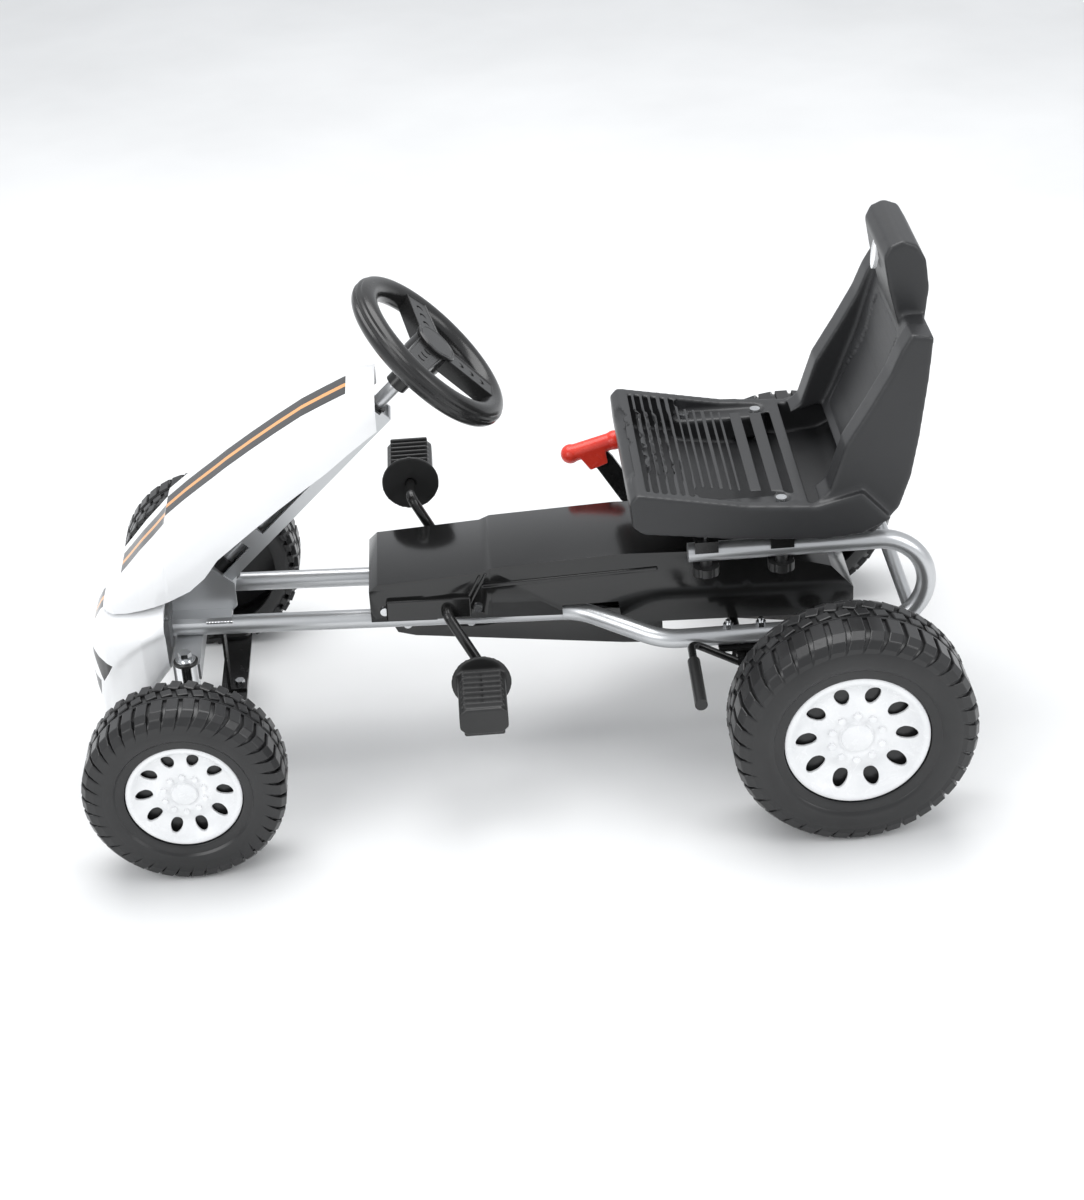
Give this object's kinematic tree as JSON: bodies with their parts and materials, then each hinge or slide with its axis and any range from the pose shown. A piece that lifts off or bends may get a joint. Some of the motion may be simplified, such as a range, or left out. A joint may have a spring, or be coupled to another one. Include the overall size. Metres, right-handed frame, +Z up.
{
  "type": "pedal go kart",
  "caption": "Child's pedal go kart: tube frame, bucket seat, steered front wheels, chain drive from a pedal crank to the rear axle, hand brake lever and a short hood.",
  "frame": {"origin": "on the ground under the middle of the kart's bounding box", "axes": "+X forward, +Y to the driver's left, +Z up"},
  "size_m": [0.979, 0.608, 0.604],
  "materials": {
    "silver_coat": "satin silver powder coat",
    "black_metal": "satin black powder coat",
    "dark_steel": "oiled steel",
    "zinc": "zinc plated",
    "nylon": "black nylon",
    "black_plastic": "fine-grained black",
    "tyre_plastic": "moulded matt black",
    "white_plastic": "gloss white",
    "red_plastic": "gloss red"
  },
  "bodies": {
    "frame": {"left_frame_tube": "silver_coat", "right_frame_tube": "silver_coat", "front_beam": "silver_coat", "mid_cross_tube": "silver_coat", "rear_cross_tube": "silver_coat", "front_cross_plate": "silver_coat", "column_bracket": "silver_coat", "column_strut": "silver_coat", "column_bushes": "nylon", "kingpin_housings": "silver_coat", "kingpin_bushes": "nylon", "left_axle_bracket": "silver_coat", "right_axle_bracket": "silver_coat", "axle_bushes": "nylon", "crank_bushes": "nylon", "left_brake_bracket": "black_metal", "right_brake_bracket": "black_metal", "chain": "dark_steel", "chain_cover": "black_plastic", "chain_guard": "black_plastic", "cover_screws": "zinc", "frame_bolts": "zinc", "hood": "white_plastic", "nose": "white_plastic", "hood_screws": "zinc", "seat": "black_plastic", "seat_saddles": "black_plastic", "seat_bolts": "zinc", "seat_knobs": "black_plastic"},
    "steering": {"steering_shaft": "silver_coat", "shaft_collar": "black_plastic", "steering_wheel": "black_plastic", "wheel_cap": "black_plastic", "drop_arm": "black_metal"},
    "left_knuckle": {"left_knuckle": "black_metal", "left_knuckle_bolts": "zinc"},
    "right_knuckle": {"right_knuckle": "black_metal", "right_knuckle_bolts": "zinc"},
    "tie_rod": {"tie_rod": "black_metal", "tie_rod_upright": "black_metal", "tie_rod_bolt": "zinc"},
    "front_left_wheel": {"front_left_tyre": "tyre_plastic", "front_left_hubcap": "white_plastic"},
    "front_right_wheel": {"front_right_tyre": "tyre_plastic", "front_right_hubcap": "white_plastic"},
    "rear_axle": {"rear_axle": "dark_steel", "axle_sprocket": "dark_steel", "axle_nuts": "zinc", "rear_left_tyre": "tyre_plastic", "rear_left_hubcap": "white_plastic", "rear_right_tyre": "tyre_plastic", "rear_right_hubcap": "white_plastic"},
    "crank": {"crank": "black_metal", "crank_sprocket": "dark_steel"},
    "left_pedal": {"left_pedal": "black_plastic"},
    "right_pedal": {"right_pedal": "black_plastic"},
    "brake": {"brake_shaft": "black_metal", "brake_sleeve": "black_plastic", "brake_lever": "black_metal", "brake_handle": "red_plastic"}
  },
  "joints": [
    {"name": "steering_turn", "type": "hinge", "parent": "frame", "child": "steering", "pos_m": [0.0735, 0, 0.487], "axis": [-0.7193, 0, 0.6947], "range_deg": [-30, 30]},
    {"name": "left_knuckle_turn", "type": "hinge", "parent": "frame", "child": "left_knuckle", "pos_m": [0.3695, 0.116, 0.11], "axis": [0, 0, 1], "range_deg": [-26, 26]},
    {"name": "right_knuckle_turn", "type": "hinge", "parent": "frame", "child": "right_knuckle", "pos_m": [0.3695, -0.116, 0.11], "axis": [0, 0, 1], "range_deg": [-26, 26]},
    {"name": "tie_rod_turn", "type": "hinge", "parent": "left_knuckle", "child": "tie_rod", "pos_m": [0.3335, 0.116, 0.07], "axis": [0, 0, 1], "range_deg": [-26, 26]},
    {"name": "front_left_spin", "type": "hinge", "parent": "left_knuckle", "child": "front_left_wheel", "pos_m": [0.3695, 0.2455, 0.11], "axis": [0, 1, 0], "continuous": true},
    {"name": "front_right_spin", "type": "hinge", "parent": "right_knuckle", "child": "front_right_wheel", "pos_m": [0.3695, -0.2455, 0.11], "axis": [0, 1, 0], "continuous": true},
    {"name": "axle_spin", "type": "hinge", "parent": "frame", "child": "rear_axle", "pos_m": [-0.3565, 0, 0.133], "axis": [0, 1, 0], "continuous": true},
    {"name": "crank_spin", "type": "hinge", "parent": "frame", "child": "crank", "pos_m": [0.0755, 0, 0.19607], "axis": [0, 1, 0], "continuous": true},
    {"name": "left_pedal_spin", "type": "hinge", "parent": "crank", "child": "left_pedal", "pos_m": [0.04156, 0.17, 0.13485], "axis": [0, 1, 0], "continuous": true},
    {"name": "right_pedal_spin", "type": "hinge", "parent": "crank", "child": "right_pedal", "pos_m": [0.10944, -0.17, 0.25729], "axis": [0, 1, 0], "continuous": true},
    {"name": "brake_pull", "type": "hinge", "parent": "frame", "child": "brake", "pos_m": [-0.254, 0, 0.138], "axis": [0, -1, 0], "range_deg": [0, 37]}
  ],
  "couplings": [
    {"joint": "left_knuckle_turn", "follows": "steering_turn", "ratio": 0.83333},
    {"joint": "right_knuckle_turn", "follows": "steering_turn", "ratio": 0.83333},
    {"joint": "tie_rod_turn", "follows": "steering_turn", "ratio": -0.83333},
    {"joint": "crank_spin", "follows": "axle_spin", "ratio": 0.85714}
  ]
}
